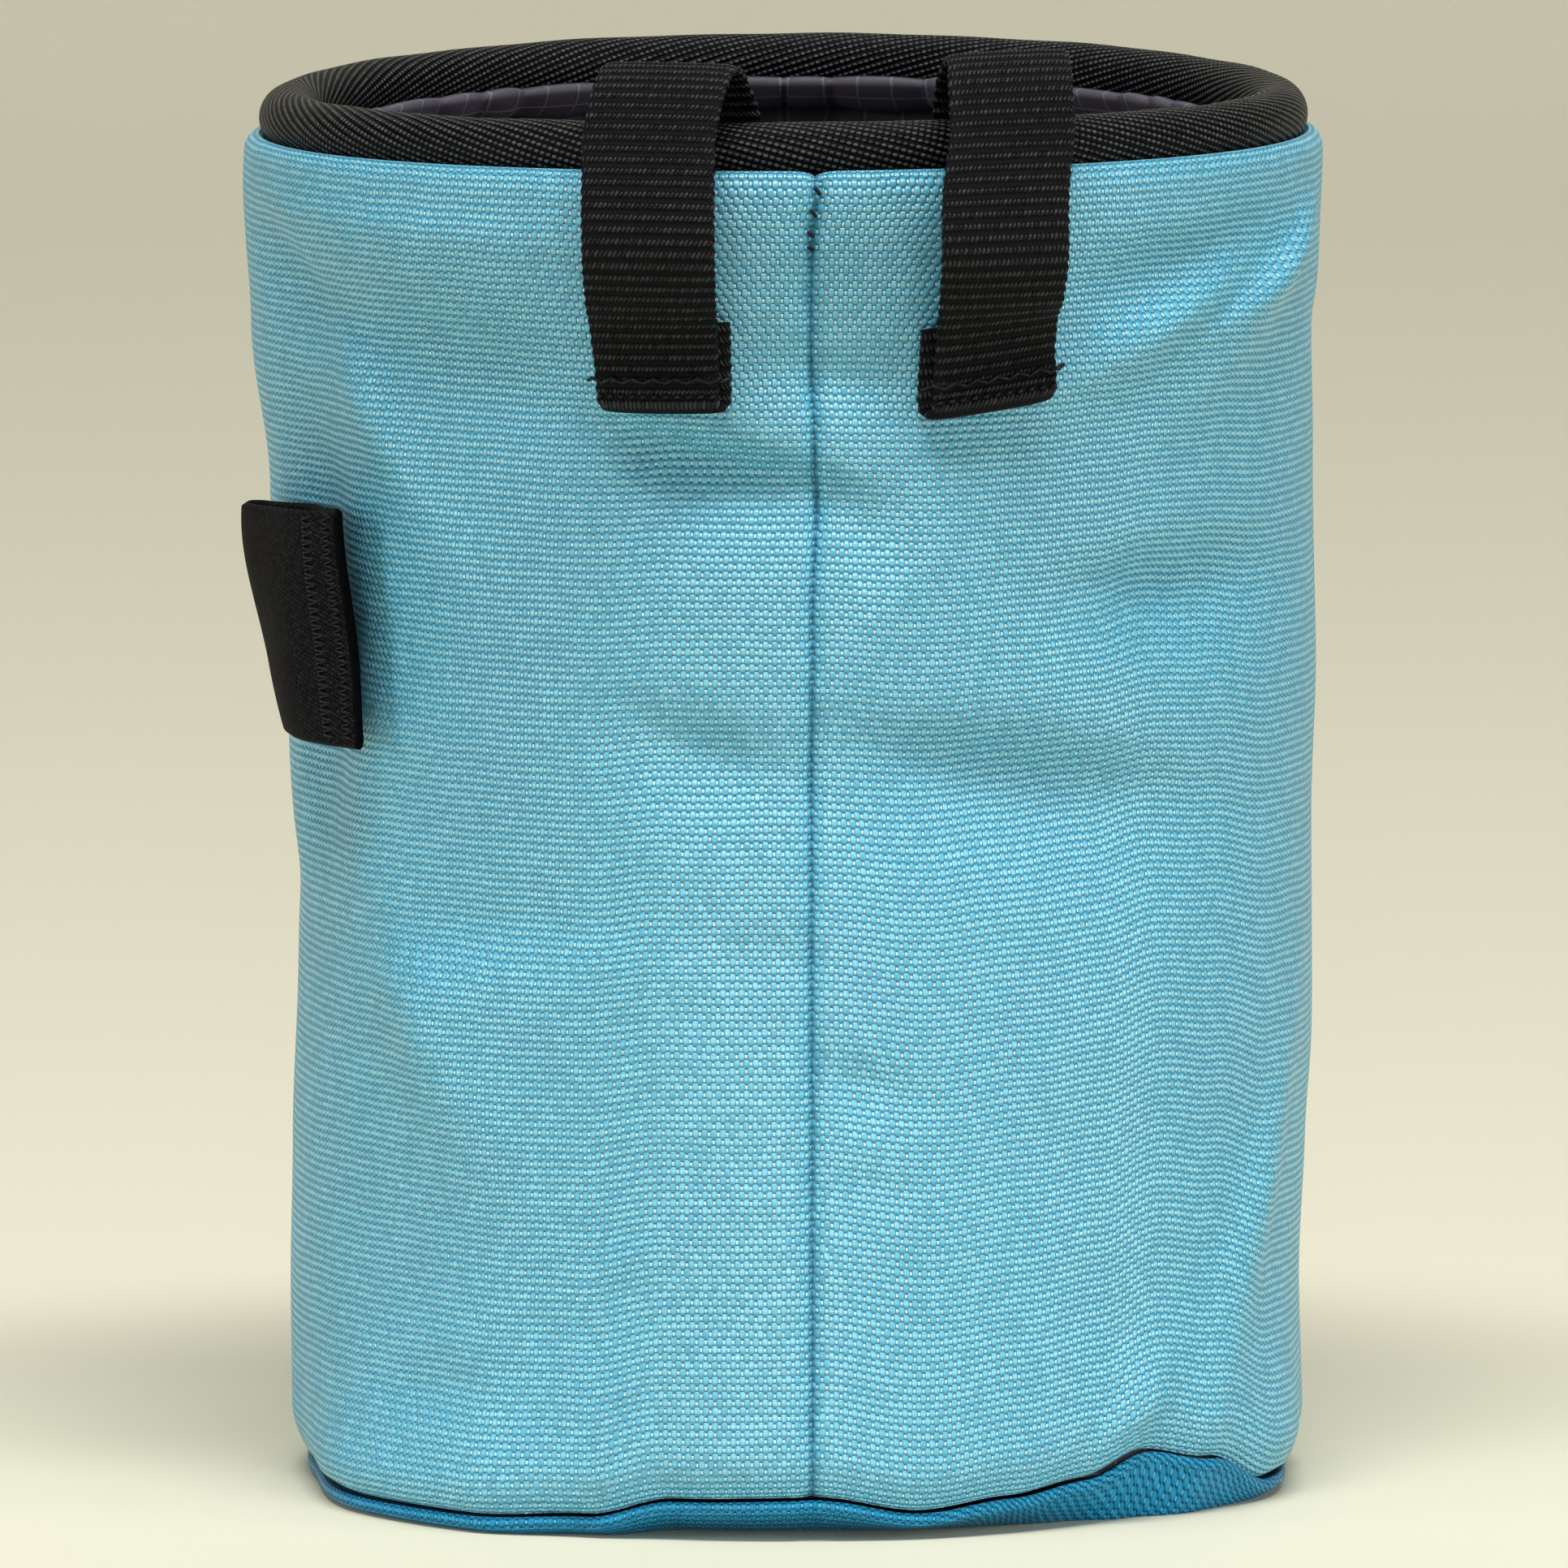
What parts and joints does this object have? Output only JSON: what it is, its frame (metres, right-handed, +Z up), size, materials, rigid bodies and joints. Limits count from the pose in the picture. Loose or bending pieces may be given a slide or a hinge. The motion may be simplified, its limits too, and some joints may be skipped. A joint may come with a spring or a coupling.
{
  "type": "climbing chalk bag",
  "caption": "Soft round bag with a stiff taped mouth ring, gathered liner, webbing belt loops and a folded elastic brush loop on its side.",
  "frame": {"origin": "middle of the flat underside, where the bag stands", "axes": "+Z up through the mouth, -Y towards the side with the belt loops, -X towards the brush loop"},
  "size_m": [0.1325, 0.1386, 0.1779],
  "materials": {
    "blue_oxford_cloth": "light blue plain-woven polyester with pale glints on its weft",
    "blue_base_cloth": "the same blue woven polyester, seen darker underneath",
    "black_twill_tape": "black twill tape with slanting ribs over a stiff ring",
    "dark_ripstop_liner": "thin dark grey ripstop, gathered at the mouth",
    "black_webbing": "black ribbed webbing",
    "black_elastic": "black knitted elastic"
  },
  "bodies": {
    "root": {"outer_shell": "blue_oxford_cloth", "base_panel": "blue_base_cloth", "rim_binding": "black_twill_tape", "liner": "dark_ripstop_liner", "belt_loop_left": "black_webbing", "belt_loop_right": "black_webbing", "brush_loop": "black_elastic"}
  },
  "joints": []
}
